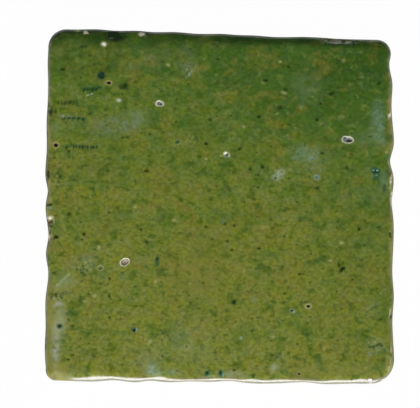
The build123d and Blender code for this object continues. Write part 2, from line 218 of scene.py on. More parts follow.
PALE_SPOTS = [
    # The first two spots here are the painted highlight on the pit at (226.5, 154.5)
    (225.4, 153.2, 1, 0.8, SNOW_GLINT, 1, 30), (229.2, 155.6, 0.6, 0.7, CREAM, 0.7),
    (221.3, 156, 0.9, 0.7, LEMON, 0.7), (227, 157.6, 1.2, 0.5, TEAL), (390.9, 348, 0.35, 3.2, CREAM, 0.6),
    # (105, 44.5): painted highlight, white with a pale yellow halo, on a raised speck
    (389.8, 363, 0.35, 3.6, CREAM, 0.6, -12), (105, 44.5, 1.9, 1.6, LEMON, 0.5),
    (105, 44.5, 1.25, 1.1, SNOW_GLINT, 1, 0, -0.05), (50.5, 217.8, 1.7, 1, CREAM, 1, 10),
    (54.2, 221, 0.4, 1.7, MILK, 0.8, 8, -0.03), (48.8, 236.5, 0.5, 2.4, CHALK, 0.7),
    (51.8, 234, 0.4, 2.6, LEMON, 0.7, -5), (50.2, 208, 1.4, 0.7, SPRUCE),
    (50.2, 199.5, 1.1, 1.7, LEMON, 0.6), (63.5, 117, 1.3, 0.8, MILK, 0.6, 20),
    (389.8, 115.5, 2, 0.7, CREAM, 1, 70, -0.02), (388.6, 112.3, 0.6, 0.9, RUST),
    (390.4, 181, 0.6, 2.6, CREAM, 1, 0, -0.02), (389.6, 168, 0.4, 3, LEMON, 0.9, -8),
    (389.2, 187, 0.4, 2.4, LEMON), (391.6, 175.5, 0.5, 1.2, CREAM, 0.7), (388.8, 176.5, 0.5, 1.6, OCHRE),
    (388.3, 162.5, 0.6, 1.6, LEMON, 0.7, 10), (386, 152.5, 0.8, 0.8, LEMON, 0.6),
    (391.2, 199.5, 0.8, 4.4, CHALK, 0.85), (391.2, 193.5, 0.6, 1.2, CREAM),
    # The aqua spots here and below are painted highlights in the teal drops
    (389.8, 312.5, 0.4, 2.6, CREAM, 0.6, -10), (373.2, 170.3, 0.6, 0.4, AQUA_GLINT),
    (376.8, 170.6, 0.6, 0.4, AQUA_GLINT, 0.7), (376.4, 175.4, 0.9, 0.7, AQUA_GLINT, 0.6),
    (370.2, 354, 1.3, 1.1, SPRUCE, 0.6), (333.5, 42.6, 2.6, 0.5, MILK, 0.6, -12),
    (348, 42.6, 2.6, 0.4, MILK, 0.6, 15), (335.5, 40, 1.6, 0.7, CLAY_ROSE, 0.5),
    (382.5, 379, 1.4, 0.5, CREAM, 0.6, 25), (125.5, 261.8, 1.5, 0.9, CHALK, 0.85, 25),
    # The aqua spot at (136.8, 329.4) is a painted highlight in a teal pit
    (134.5, 334, 2.4, 0.4, RUST, 0.6, -5), (136.8, 329.4, 0.6, 1.1, AQUA_GLINT, 0.6),
    (141, 337, 0.7, 0.45, CHALK, 0.6, 0, -0.02), (146, 339.5, 1.7, 0.35, LEMON, 0.7, -25, -0.02),
    # The aqua spots at (208, 375.6) and (222.2, 374.8) are painted highlights in the teal drops
    (135.5, 342, 0.9, 0.35, LEMON, 0.6), (208, 375.6, 0.8, 0.5, AQUA_GLINT, 0.7),
    (222.2, 374.8, 0.8, 0.7, AQUA_GLINT), (61.2, 328, 0.9, 0.4, SPRUCE, 0.7, 45),
    # (86, 32.5): painted highlight, a white glint on the upper roll
    (136.4, 331.2, 0.9, 0.35, LEMON, 0.7, 50), (86, 32.5, 1.3, 1, CREAM, 0.9, 40, -0.03),
    (78, 31, 1.2, 0.6, LEMON, 0.9, 0, -0.02), (142, 34.5, 2.3, 1.1, CREAM, 1, -8, -0.03),
    (112, 38.2, 1.4, 0.6, SMOKE, 0.7), (119, 100.6, 1.7, 1.4, MILK, 0.8, 0, -0.03),
    (118.8, 100.4, 0.7, 0.6, CREAM, 0.8, 0, -0.02), (87.6, 95.4, 1.3, 0.5, MILK, 0.8, 10, -0.02),
    (92, 94.2, 1.2, 0.4, MILK, 0.75, 20, -0.02), (168, 65, 1.3, 1, LEMON, 0.75, 0, -0.02),
    (280, 62, 0.9, 0.8, LEMON, 0.8, 0, -0.03), (343, 61, 1.2, 1, LEMON, 0.4, 0, -0.02),
    (263, 83.5, 1.6, 0.9, LEMON, 0.4, -25, -0.02), (284, 93, 1.7, 0.9, LEMON, 0.8, -15, -0.03),
    (277, 114, 1.1, 0.6, LEMON, 0.7, 10, -0.02), (301, 107, 1, 1.3, MILK, 0.25, -30, -0.02),
    (244, 126.5, 1, 0.9, MILK, 0.5, 0, -0.02), (99.5, 247, 1.1, 1.3, LEMON, 0.8, 0, -0.03),
    (95, 296, 1.2, 1, LEMON, 0.9, 0, -0.03), (85, 301, 1.1, 0.8, LEMON, 0.8, 0, -0.02),
    (155.6, 281.6, 1.1, 1.1, LEMON, 0.8, 0, -0.02), (190, 283, 0.9, 0.9, LEMON, 0.5, 0, -0.02),
    (244, 270.5, 0.9, 1.2, LEMON, 0.5, 20, -0.03), (150.5, 341, 1.5, 0.9, LEMON, 0.7, 50, -0.03),
    (135, 207, 0.9, 0.8, LEMON, 0.85, 0, -0.02), (174, 220, 1.2, 1, LEMON, 0.7, 0, -0.02),
    (241, 338, 1, 1, MILK, 0.6, 60, -0.02), (273, 336.5, 1, 0.8, LEMON, 0.8, 0, -0.02),
    (324, 348, 0.8, 1, LEMON, 0.6, 0, -0.02), (341, 243, 1.2, 1, LEMON, 0.9, 0, -0.03),
    (330, 260.6, 1.3, 0.9, LEMON, 0.65, 0, -0.02), (284, 219, 1, 1, LEMON, 0.4, 0, -0.02),
    (206, 159, 1, 0.7, LEMON, 0.75, 0, -0.02), (264, 227, 2.6, 1.2, BUFF, 0.5, 0, -0.02),
    (367, 153, 0.6, 1.2, LEMON, 0.3, 10, -0.02), (293.8, 311.8, 1, 0.8, MILK, 0.6, 30, -0.03),
    (293, 158, 1, 0.8, SPRUCE, 0.5),
]
DENT = 0.05
DARK_SPOTS = [Spot(*row, dip=DENT) for row in DENTED_DARK_SPOTS] + list(starmap(Spot, FLAT_DARK_SPOTS))
PALE_SPOTS = list(starmap(Spot, PALE_SPOTS))

# Soft patches of milky, smoky, green or rusty glaze
Bloom = namedtuple("Bloom", "across down length width colour amount turn", defaults=(0,))
BLOOMS = [
    (131, 77, 8, 5, OCHRE, 0.1), (105, 55, 34, 13, MOSS, 0.27), (355, 255, 15, 62, MOSS, 0.15),
    (385, 240, 5, 66, MOSS, 0.12), (92, 250, 10, 74, MOSS, 0.06), (195, 290, 34, 26, OCHRE, 0.16),
    (60, 52, 3.5, 3.5, BUFF, 0.3), (50, 117, 2.4, 5, MOSS, 0.5), (56, 127, 4, 4.5, SEA, 0.4),
    (391, 247, 1.4, 6, LEMON, 0.7), (391, 222, 1.2, 7, BUFF, 0.6), (389, 359, 1.8, 8, LEMON, 0.6),
    (362, 370, 9, 3, BUFF, 0.45), (380, 128.5, 2, 2.6, SPRUCE, 0.5), (191, 140, 12, 6, OCHRE, 0.3, 10),
    (322, 370, 18, 3.4, BUFF, 0.35), (55.5, 371, 6.5, 4.5, BUFF, 0.65), (52, 121, 2, 3, MOSS, 0.35),
    (52, 181, 2.2, 5, MOSS, 0.35), (110, 61, 6, 4, MOSS, 0.25), (51, 318, 4.5, 14, BUFF, 0.7),
    (56, 179, 5, 6, MOSS, 0.4), (155, 185, 16, 8, OCHRE, 0.2, -20), (215, 236, 14, 8, OCHRE, 0.35),
    (196, 275, 18, 12, OCHRE, 0.35), (60, 60, 12, 12, MOSS, 0.2), (110, 218, 10, 7, MOSS, 0.2),
    (95, 170, 14, 5, MOSS, 0.2, -5), (250, 215, 22, 5, MOSS, 0.2, 5), (180, 43, 18, 5, MOSS, 0.4),
    (374, 60, 8, 14, MOSS, 0.35), (258, 53, 9, 7, GRASS, 0.55), (299, 58, 7, 11, GRASS, 0.55),
    (112, 59, 11, 9, MOSS, 0.3), (282, 84, 20, 6, GRASS, 0.35), (346, 105, 8, 5, GRASS, 0.35),
    (384, 316, 3, 15, GRASS, 0.45), (192, 280, 18, 15, BUFF, 0.15), (186, 346, 15, 14, MILK, 0.12),
    (148, 361, 9, 8, MILK, 0.2), (335, 205, 20, 8, GRASS, 0.3), (304, 316, 16, 16, GRASS, 0.25),
    (345, 70, 14, 8, MOSS, 0.25), (117, 124, 16, 5.5, SMOKE, 0.6, 12), (134, 120, 6, 4, SEA, 0.4, 25),
    (72, 122, 9, 5, SMOKE, 0.2), (148, 60, 16, 6, SMOKE, 0.2, 20), (186, 66, 5, 8, SMOKE, 0.75, 10),
    (307, 88, 9, 9, SMOKE, 0.3), (305, 152, 8, 5, SEA, 0.25), (305, 158.5, 6, 1.5, SPRUCE, 0.65, 6),
    (299, 152, 2, 3, SPRUCE, 0.35), (313, 164, 10, 6, SEA, 0.3), (278.5, 174.5, 4.4, 2.4, MILK, 0.6, 40),
    (281.3, 171.5, 2, 2.2, MILK, 0.4), (275.8, 177.5, 2.3, 2, MILK, 0.4), (84, 264, 5, 4.5, MILK, 0.25),
    (379, 119, 4.4, 12, SPRUCE, 0.45), (372, 138, 8, 5, SEA, 0.35), (384, 182, 2.4, 7, SPRUCE, 0.35),
    (362, 194, 12, 5, SMOKE, 0.25), (383, 142, 3, 3.2, SEA, 0.6), (64, 283, 7, 4.5, MILK, 0.45, 15),
    (80, 265, 12, 5, SMOKE, 0.3, 25), (61, 318, 3.4, 10, MILK, 0.35), (54.5, 345, 3.6, 12, MILK, 0.4),
    (55.2, 349, 2.8, 11, ASH, 0.7), (58.5, 306, 2.3, 2.3, ASH, 0.95), (154, 370, 5.2, 4.2, MILK, 0.95),
    (172, 372, 6, 2.5, MILK, 0.5), (152, 370, 3.2, 2.8, SPRUCE, 0.6), (232, 374, 12, 2.5, MILK, 0.4),
    (273.8, 368.5, 2.4, 3.2, MILK, 0.95), (122.5, 276.5, 2.4, 2.4, TEAL, 0.6),
    (254, 299.5, 2, 2, SPRUCE, 0.3), (376, 345, 5, 5, MILK, 0.3), (370, 310, 6, 8, SMOKE, 0.25),
    (290, 216, 8, 3, SMOKE, 0.2),
]
BLOOMS = list(starmap(Bloom, BLOOMS))

# Worn lines in the glaze
Scratch = namedtuple("Scratch", "across down to_across to_down width colour amount")
SCRATCHES = [
    (72, 271, 54, 288, 0.4, MILK, 0.6), (48, 294, 75, 293, 0.35, MOSS, 0.7),
    (50, 298, 66, 291, 0.35, MOSS, 0.6), (366, 312, 376, 306, 0.4, MOSS, 0.45),
    (367, 309, 374, 304, 0.3, MILK, 0.4), (372, 344, 379, 338, 0.35, MILK, 0.8),
    (370, 347, 381, 344, 0.35, MOSS, 0.7), (276, 361, 283, 354, 0.5, MILK, 0.35),
    (280, 356, 287, 361, 0.4, BUFF, 0.4), (279, 352, 281, 357, 0.5, MOSS, 0.5),
    (275, 357, 279, 359, 0.5, MOSS, 0.4), (186, 78, 196, 67, 0.35, MILK, 0.4),
    (136, 127, 124, 132, 0.4, SMOKE, 0.4), (59, 103.5, 77, 103, 1, MOSS, 0.3),
    (66, 118, 86, 119.5, 0.7, FERN, 0.7), (64, 146.5, 97, 147, 0.8, FERN, 0.65),
    (60, 115.2, 72, 116.6, 0.5, SPRUCE, 0.5), (83, 89, 101, 88, 1.2, FERN, 0.5),
    (165, 261, 168, 267, 0.35, MOSS, 0.5),
]
SCRATCHES = list(starmap(Scratch, SCRATCHES))

# A tool's chatter marks: short dark strokes in a row, as high as the row says
TickRow = namedtuple("TickRow", "across down to_across to_down count height colour")
TICK_ROWS = [
    (58, 103.2, 78, 103, 8, 1.5, MOSS), (61, 118, 84, 119.5, 9, 1, POOL),
    (64, 147.5, 98, 147, 12, 1, POOL), (82, 90.5, 102, 88, 9, 1, POOL),
]
TICK_WIDTH = 0.45
TICK_DIP = 0.02
for row in starmap(TickRow, TICK_ROWS):
    for k in range(row.count):
        chance = noise.noise(Vector((row.down, 3.7 * k, 0.5)))
        along = (k + 0.5 + 0.5 * chance) / row.count
        across = row.across + (row.to_across - row.across) * along
        down = row.down + (row.to_down - row.down) * along + 1.2 * chance
        height = row.height * (1 + 0.4 * chance)
        DARK_SPOTS.append(Spot(across, down, TICK_WIDTH, height, row.colour, 0.9, 10 * chance, TICK_DIP))

# Dark and pale flecks strewn over a patch, in the turns of a sunflower's head
Cluster = namedtuple("Cluster", "across down length width count dark pale")
CLUSTERS = [
    (57, 179, 4, 4.4, 18, POOL, LEMON), (49.5, 110, 1.4, 5, 10, PINE, LEMON),
    (49, 168, 1, 7, 8, PINE, LEMON), (85, 265, 5.5, 4.6, 24, POOL, LEMON),
    (117, 124, 12, 4.4, 34, MOSS, SPRUCE), (306, 152, 8, 5, 26, FERN, SPRUCE),
    (316, 174, 5, 6, 14, FERN, SPRUCE), (379, 120, 3.2, 10, 20, FERN, SPRUCE),
    (188, 68, 3, 5, 14, MOSS, MILK), (55.5, 348, 1.8, 8, 16, SMOKE, ASH),
    (56, 297, 4.6, 1.6, 12, POOL, MILK), (278, 174, 3.4, 2.6, 8, FERN, MILK),
    (375, 345, 4.4, 3, 13, MOSS, LEMON), (152, 370, 3.2, 2.6, 9, TEAL, ASH),
    (216, 374, 6, 1.6, 10, DEEP_TEAL, LEMON), (390, 180, 0.8, 11, 16, RUST, LEMON),
    (388.5, 358, 0.8, 8, 10, RUST, LEMON), (192, 140, 4, 3, 10, FERN, LEMON),
]
FLECK_SIZE = 0.4
SUNFLOWER_TURN = 2.4
for patch in starmap(Cluster, CLUSTERS):
    for k in range(patch.count):
        chance = noise.noise(Vector((patch.across, 2.3 * k, patch.down)))
        reach = ((k + 0.5) / patch.count) ** 0.5 / (2 * PIXEL)
        across = patch.across + patch.length * reach * cos(SUNFLOWER_TURN * k)
        down = patch.down + patch.width * reach * sin(SUNFLOWER_TURN * k)
        size = FLECK_SIZE + abs(chance), FLECK_SIZE + 0.6 * abs(chance)
        if chance > 0:
            PALE_SPOTS.append(Spot(across, down, *size, patch.pale, 0.5, 200 * chance))
        else:
            DARK_SPOTS.append(Spot(across, down, *size, patch.dark, 0.7, 200 * chance, TICK_DIP))

# Flakes knocked off the roll: side of the tile, share along it, scar, colour and how bare it is
Chip = namedtuple("Chip", "side share length width bite colour bare")
CHIPS = [
    # The first chip's near-white facet is a painted highlight where it catches the light
    (0, 0.93, 2.2, 1.5, 0.3, LILAC_GLINT, 0), (1, 0.197, 1.8, 1.2, 0.3, BUFF, 0.1),
    (1, 0.437, 1.6, 0.9, 0.3, UMBER, 0), (1, 0.78, 2.6, 1, 0.3, BUFF, 0),
    (2, 0.15, 10, 1.8, 0.35, SLATE, 0), (2, 0.728, 2, 1.2, 0.3, CREAM, 0),
    (2, 0.888, 1.5, 1, 0.3, CREAM, 0), (3, 0.548, 2.6, 1.9, 0.45, CLAY_ROSE, 0.3),
    (3, 0.6, 3.6, 1.6, 0.35, TAN, 0.1),
]
CHIPS = list(starmap(Chip, CHIPS))
CHIP_ANGLE = pi / 4

# Left of the first place the lower roll is too dull to mirror a lamp, right of the second it isn't
DULL_END, GLOSS_START = on_tile(66, 0)[0], on_tile(80, 0)[0]

# Section of the lower roll: (place across the photograph, exponent of its superellipse).
# 2 is the plain quarter ellipse, and more is squarer
LOWER_SECTIONS = [
    (60, 2.0), (76, 2.5), (90, 1.75), (105, 1.85), (120, 2.2), (135, 1.95), (150, 2.6), (160, 1.6),
    (175, 2.8), (195, 4.2), (215, 2.6), (235, 4.0), (250, 2.0), (265, 2.6), (285, 2.3), (305, 4.5),
    (320, 3.0), (335, 2.1), (350, 2.4), (362, 1.9), (374, 2.6),
]


def turned(points, angle):
    """Points seen from axes turned by an angle in degrees."""
    c, s = cos(radians(angle)), sin(radians(angle))
    return points[:, 0] * c + points[:, 1] * s, points[:, 1] * c - points[:, 0] * s


def unit(vector):
    return vector / np.linalg.norm(vector)


def corner_points(inset):
    """Where the four sides would meet, with every side moved in by inset."""
    signs = np.array([(-1, -1), (1, -1), (1, 1), (-1, 1)])
    true = signs * (FACE_WIDTH / 2, FACE_HEIGHT / 2) + CORNER_SLIPS
    moved = []
    for i in range(4):
        before = unit(true[i] - true[i - 1])
        after = unit(true[(i + 1) % 4] - true[i])
        half_turn = np.arccos(before @ after) / 2
        moved.append(true[i] + unit(after - before) * (inset / cos(half_turn)))
    return np.array(moved)


def clamped_spline(knots, values, at):
    """A smooth line through the stations, level at both ends."""
    knots, values = np.array(knots), np.array(values)
    count = len(knots)
    gap = np.diff(knots)
    rise = np.diff(values) / gap
    system, wanted = np.zeros((count, count)), np.zeros(count)
    system[0, :2], wanted[0] = (2 * gap[0], gap[0]), 6 * rise[0]
    system[-1, -2:], wanted[-1] = (gap[-1], 2 * gap[-1]), -6 * rise[-1]
    for i in range(1, count - 1):
        system[i, i - 1 : i + 2] = gap[i - 1], 2 * (gap[i - 1] + gap[i]), gap[i]
        wanted[i] = 6 * (rise[i] - rise[i - 1])
    bend = np.linalg.solve(system, wanted)
    at = np.clip(at, knots[0], knots[-1])
    k = np.clip(np.searchsorted(knots, at) - 1, 0, count - 2)
    left, right, wide = knots[k + 1] - at, at - knots[k], gap[k]
    line = (bend[k] * left**3 + bend[k + 1] * right**3) / (6 * wide)
    line += (values[k] / wide - bend[k] * wide / 6) * left
    return line + (values[k + 1] / wide - bend[k + 1] * wide / 6) * right


def outline(inset, wave_share):
    """The tile's outline as SIDE_COLUMNS points a side, from the middle of each corner."""
    corners = corner_points(inset)
    ahead = [unit(corners[(i + 1) % 4] - corners[i]) for i in range(4)]
    radii = [max(r - inset, SMALLEST_RADIUS) for r in CORNER_RADII]
    turns = [np.arccos(ahead[i - 1] @ ahead[i]) for i in range(4)]
    trims = [r * tan(t / 2) for r, t in zip(radii, turns)]

    def arc(i, start, end):
        """Part of corner i's arc, from one share of its turn to another."""
        inward = np.array([-ahead[i][1], ahead[i][0]])
        centre = corners[i] + ahead[i] * trims[i] + inward * radii[i]
        last = np.arctan2(-inward[1], -inward[0])
        angles = last - turns[i] * (1 - np.linspace(start, end, 24))
        return centre + radii[i] * np.column_stack([np.cos(angles), np.sin(angles)])

    points = []
    for i in range(4):
        following = (i + 1) % 4
        outward = np.array([ahead[i][1], -ahead[i][0]])
        first = corners[i] + ahead[i] * trims[i]
        last = corners[following] - ahead[i] * trims[following]
        shares = np.linspace(0, 1, 500)
        knots = [0.0, *(share for share, _ in WAVES[i]), 1.0]
        rises = [0.0, *(rise * wave_share for _, rise in WAVES[i]), 0.0]
        waves = clamped_spline(knots, rises, shares)
        side = first + np.outer(shares, last - first) + np.outer(waves, outward)
        line = np.concatenate([arc(i, 0.5, 1.0), side[1:-1], arc(following, 0.0, 0.5)])
        walked = np.concatenate([[0], np.cumsum(np.linalg.norm(np.diff(line, axis=0), axis=1))])
        at = np.linspace(0, walked[-1], SIDE_COLUMNS + 1)[:-1]
        points.append(np.column_stack([np.interp(at, walked, line[:, k]) for k in (0, 1)]))
    return np.concatenate(points)


def wall_level(w):
    """Inset, height and share of the waves on the wall: w is 0 at the face, 1 at the lip,
    2 at the back's arris and 3 at the back."""
    if w <= 1:
        angle = (1 - w) * pi / 2
        inward = 1 - cos(angle)
        height = LIP_HEIGHT + ROLL_DEPTH * sin(angle)
        return ROLL_WIDTH * inward, height, 1 - (1 - WAVES_AT_FACE) * inward
    if w <= 2:
        height = LIP_HEIGHT + (BACK_ARRIS - LIP_HEIGHT) * (w - 1)
        return (LIP_HEIGHT - height) * tan(radians(SIDE_LEAN)), height, 1 - (1 - WAVES_AT_BACK) * (w - 1)
    inset = LIP_HEIGHT * tan(radians(SIDE_LEAN)) + BACK_ARRIS * (w - 2)
    return inset, BACK_ARRIS * (3 - w), WAVES_AT_BACK


WALL_STEPS = np.concatenate([np.linspace(0, 1, 61), np.linspace(1, 2, 29)[1:], [3.0]])
WALL_LEVELS = [wall_level(w) for w in WALL_STEPS]
WALL = np.array([outline(inset, share) for inset, _, share in WALL_LEVELS])
WALL_HEIGHTS = np.array([height for _, height, _ in WALL_LEVELS])
LIP_LINE = outline(0, 1)
SHIFT = -(LIP_LINE.min(0) + LIP_LINE.max(0)) / 2


def on_wall(column, w):
    """Points of the wall at columns round the tile and levels w, in between too."""
    count = WALL.shape[1]
    k = np.clip(np.searchsorted(WALL_STEPS, w, side="right") - 1, 0, len(WALL_STEPS) - 2)
    up = ((w - WALL_STEPS[k]) / (WALL_STEPS[k + 1] - WALL_STEPS[k]))[:, None]
    c = np.floor(column).astype(int)
    side = (column - c)[:, None]
    near, far = c % count, (c + 1) % count
    upper = WALL[k, near] * (1 - side) + WALL[k, far] * side
    lower = WALL[k + 1, near] * (1 - side) + WALL[k + 1, far] * side
    heights = WALL_HEIGHTS[k] * (1 - up[:, 0]) + WALL_HEIGHTS[k + 1] * up[:, 0]
    return np.column_stack([upper * (1 - up) + lower * up + SHIFT, heights])


def face_height(x, y):
    """Height of the crowned, slowly waving face above the back."""
    x, y = x - SHIFT[0], y - SHIFT[1]
    u, v = 2 * x / (FACE_WIDTH - 2 * ROLL_WIDTH), 2 * y / (FACE_HEIGHT - 2 * ROLL_WIDTH)
    dome = np.clip(1 - u * u, 0, 1) * np.clip(1 - v * v, 0, 1)
    swell = np.cos(2 * pi * x / SWELL_LENGTH_X) * np.cos(2 * pi * y / SWELL_LENGTH_Y)
    return EDGE_HEIGHT + (CROWN + SWELL_HEIGHT * (swell - 1)) * dome


def filled(ring):
    """A square grid of points inside a ring of four equal sides."""
    n = len(ring) // 4
    closed = np.concatenate([ring, ring[:1]])
    lower, right = closed[: n + 1], closed[n : 2 * n + 1]
    upper, left = closed[2 * n : 3 * n + 1][::-1], closed[3 * n :][::-1]
    u = np.linspace(0, 1, n + 1)[:, None, None]
    v = np.linspace(0, 1, n + 1)[None, :, None]
    across = (1 - v) * lower[:, None] + v * upper[:, None]
    along = (1 - u) * left[None] + u * right[None]
    corners = (1 - u) * (1 - v) * lower[0] + u * (1 - v) * lower[-1]
    corners = corners + (1 - u) * v * upper[0] + u * v * upper[-1]
    return across + along - corners


def rim_index(n):
    """Grid places round the edge, in the order of a ring."""
    lower = [(i, 0) for i in range(n)]
    right = [(n, j) for j in range(n)]
    upper = [(n - i, n) for i in range(n)]
    left = [(0, n - j) for j in range(n)]
    return lower + right + upper + left


# The plain mesh: the face's grid, the wall's rings and the back's coarser grid
points, column_of, level_of, faces = [], [], [], []


def add_points(xyz, columns, levels):
    first = len(points)
    points.extend(map(tuple, xyz))
    column_of.extend(columns)
    level_of.extend(levels)
    return list(range(first, len(points)))


def add_grid(xy, heights, level, ring_level, flip):
    """Adds a grid's points and faces and returns the ids round its edge."""
    n = len(xy) - 1
    flat = xy.reshape(-1, 2)
    columns, levels = np.zeros(len(flat)), np.full(len(flat), level)
    ring = [i * (n + 1) + j for i, j in rim_index(n)]
    columns[ring] = np.arange(len(ring)) * (4 * SIDE_COLUMNS / len(ring))
    levels[ring] = ring_level
    ids = add_points(np.column_stack([flat, heights]), columns, levels)
    for i in range(n):
        for j in range(n):
            a = ids[i * (n + 1) + j]
            quad = (a, a + n + 1, a + n + 2, a + 1)
            faces.append(quad[::-1] if flip else quad)
    return [ids[k] for k in ring]


def add_ring(w, step):
    """Adds a ring of the wall, with every step-th column."""
    columns = np.arange(0, 4 * SIDE_COLUMNS, step).astype(float)
    return add_points(on_wall(columns, np.full(len(columns), w)), columns, np.full(len(columns), w))


def join_rings(upper, lower):
    """Faces between two rings, of which the lower may have half as many points."""
    count, half = len(upper), len(upper) == 2 * len(lower)
    for k in range(len(lower)):
        b, d = lower[k], lower[(k + 1) % len(lower)]
        if half:
            a, m, c = upper[2 * k], upper[2 * k + 1], upper[(2 * k + 2) % count]
            faces.extend([(a, b, m), (m, b, d), (m, d, c)])
        else:
            faces.append((upper[k], b, d, upper[(k + 1) % count]))


face_grid = filled(WALL[0] + SHIFT)
flat_grid = face_grid.reshape(-1, 2)
ring = add_grid(face_grid, face_height(flat_grid[:, 0], flat_grid[:, 1]), -1.0, 0.0, False)
for band in range(1, ROLL_BANDS + 1):
    following = add_ring(band / ROLL_BANDS, 1)
    join_rings(ring, following)
    ring = following
for band in range(1, SIDE_BANDS + 1):
    step = {SIDE_BANDS - 1: 2, SIDE_BANDS: 4}.get(band, 1)
    following = add_ring(1 + band / SIDE_BANDS, step)
    join_rings(ring, following)
    ring = following
back_grid = filled((WALL[-1] + SHIFT)[::4])
join_rings(ring, add_grid(back_grid, np.zeros(back_grid.size // 2), 9.0, 3.0, True))


# Finer faces where a pit, spot or chip needs them
def chip_frame(chip):
    """Middle of a chip on the roll, and its directions along, across and out."""
    corners = corner_points(0)
    start, end = corners[chip.side], corners[(chip.side + 1) % 4]
    along = unit(end - start)
    outward = np.array([along[1], -along[0]])
    foot = start + (end - start) * chip.share - outward * ROLL_WIDTH * (1 - cos(CHIP_ANGLE)) + SHIFT
    middle = np.array([*foot, EDGE_HEIGHT - ROLL_DEPTH * (1 - sin(CHIP_ANGLE))])
    out = unit(np.array([*(outward * cos(CHIP_ANGLE) / ROLL_WIDTH), sin(CHIP_ANGLE) / ROLL_DEPTH]))
    along = np.array([*along, 0.0])
    return middle, along, np.cross(out, along), out


# How far past a mark the faces are split, and how far they are split again
PIT_REACH, PIT_CORE = 0.8, 0.4
SPOT_REACH = 0.25
CHIP_REACH, CHIP_CORE = 1.0, 0.5
DEEPEST = LIP_HEIGHT - 1.5  # edges below it aren't split
fine_places = []
for pit in PITS:
    half = pit.length / 2
    fine_places.append((on_tile(pit.across, pit.down), half + PIT_REACH, half + PIT_CORE))
for spot in DARK_SPOTS + PALE_SPOTS:
    half = max(spot.length, spot.width) / 2
    fine_places.append((on_tile(spot.across, spot.down), half + SPOT_REACH, 0.0))
for chip in CHIPS:
    half = chip.length / 2
    fine_places.append((chip_frame(chip)[0][:2], half + CHIP_REACH, half + CHIP_CORE))

mesh = bpy.data.meshes.new("glazed_tile_dressed")
mesh.from_pydata(points, [], faces)
build = bmesh.new()
build.from_mesh(mesh)
build.verts.ensure_lookup_table()
column_layer = build.verts.layers.float.new("column")
level_layer = build.verts.layers.float.new("level")
for vert, column, level in zip(build.verts, column_of, level_of):
    vert[column_layer] = column
    vert[level_layer] = level

for time in (0, 1):
    edge_list = list(build.edges)
    ends = np.array([(*e.verts[0].co, *e.verts[1].co) for e in edge_list]).reshape(-1, 2, 3)
    middles = ends.mean(1)
    wanted = np.zeros(len(edge_list), bool)
    for place, *reaches in fine_places:
        near = np.linalg.norm(middles[:, :2] - place, axis=1) < reaches[time]
        wanted |= near & (middles[:, 2] > DEEPEST)
    chosen = [edge for edge, wish in zip(edge_list, wanted) if wish]
    bmesh.ops.subdivide_edges(build, edges=chosen, cuts=1, use_grid_fill=True)

bmesh.ops.triangulate(build, faces=[f for f in build.faces if len(f.verts) > 4])
build.to_mesh(mesh)
column = np.array([v[column_layer] for v in build.verts])
level = np.array([v[level_layer] for v in build.verts])
build.free()

# Base places of all points, the added ones too
base = np.zeros((len(mesh.vertices), 3))
mesh.vertices.foreach_get("co", base.ravel())
on_side = (level >= 0) & (level <= 3)
on_face = level < 0
base[on_side] = on_wall(column[on_side], level[on_side])
base[on_face, 2] = face_height(base[on_face, 0], base[on_face, 1])


def put(places):
    mesh.vertices.foreach_set("co", places.ravel())
    mesh.update()


def ripple(places, length, seed):
    """Smooth noise from -1 to 1 with lumps about length millimetres long."""
    moved = places / length + seed * 17.31
    return np.array([noise.noise(Vector(p)) for p in moved]) * 1.6


def smooth_step(low, high, value):
    t = np.clip((value - low) / (high - low), 0, 1)
    return t * t * (3 - 2 * t)


put(base)
normal = np.zeros(base.shape)
mesh.vertex_normals.foreach_get("vector", normal.ravel())
xy = base[:, :2]
roll = np.clip(level, 0, 1)  # 0 on the face, 1 at the lip
above = on_face | (on_side & (level <= 1))
near_lip = level < 1.4
sideways = np.maximum(np.hypot(normal[:, 0], normal[:, 1]), 1e-3)
outward_x = normal[:, 0] / sideways
down_side = -normal[:, 1] / sideways
lower_side = smooth_step(0.5, 0.9, down_side) * on_side
upper_side = smooth_step(0.3, 0.8, -down_side)
left_side = smooth_step(-0.5, -0.9, outward_x)
right_side = smooth_step(0.5, 0.9, outward_x)

# The glaze's edge wanders down the side, and the bare body below it stands a little back
GLAZE_RUN = 2.6  # how far down the side the glaze comes, on average
BODY_STEP = 0.28
round_tile = np.column_stack([xy * 0.5, np.zeros(len(xy))])
glaze_end = LIP_HEIGHT - GLAZE_RUN - 1.5 * ripple(round_tile, 4.5, 1) - 0.7 * ripple(round_tile, 1.2, 2)
glazed = smooth_step(-0.35, 0.35, base[:, 2] - glaze_end)
glazed[level > 2.9] = 0
shoulder = smooth_step(0.0, 0.4, roll) * smooth_step(1.0, 0.75, roll) * on_side
relief = np.zeros(len(base))


def add_waves(where, *waves):
    """Adds waves to the relief, each by its height, its length and its seed."""
    for height, length, seed in waves:
        relief[:] += height * ripple(base, length, seed) * where


add_waves(above, (0.045, 24.0, 3), (0.022, 9.0, 4), (0.007, 3.4, 5))
add_waves(shoulder, (0.07, 6.5, 6), (0.025, 2.4, 12))
stations = np.array(LOWER_SECTIONS)
exponent = clamped_spline(on_tile(stations[:, 0], 0.0)[0], stations[:, 1], xy[:, 0])
exponent = np.clip(exponent, 1.5, 5)
out_share, up_share = np.cos((1 - roll) * pi / 2) + 1e-6, np.sin((1 - roll) * pi / 2) + 1e-6
fuller = (out_share**exponent + up_share**exponent) ** (-1 / exponent) - 1
relief += fuller / np.hypot(out_share / ROLL_WIDTH, up_share / ROLL_DEPTH) * lower_side * (level < 1)
add_waves((1 - glazed) * (level < 2.2), (0.16, 3.2, 7), (0.09, 1.3, 8))
relief -= BODY_STEP * (1 - glazed) * smooth_step(2.2, 1.9, level) * on_side

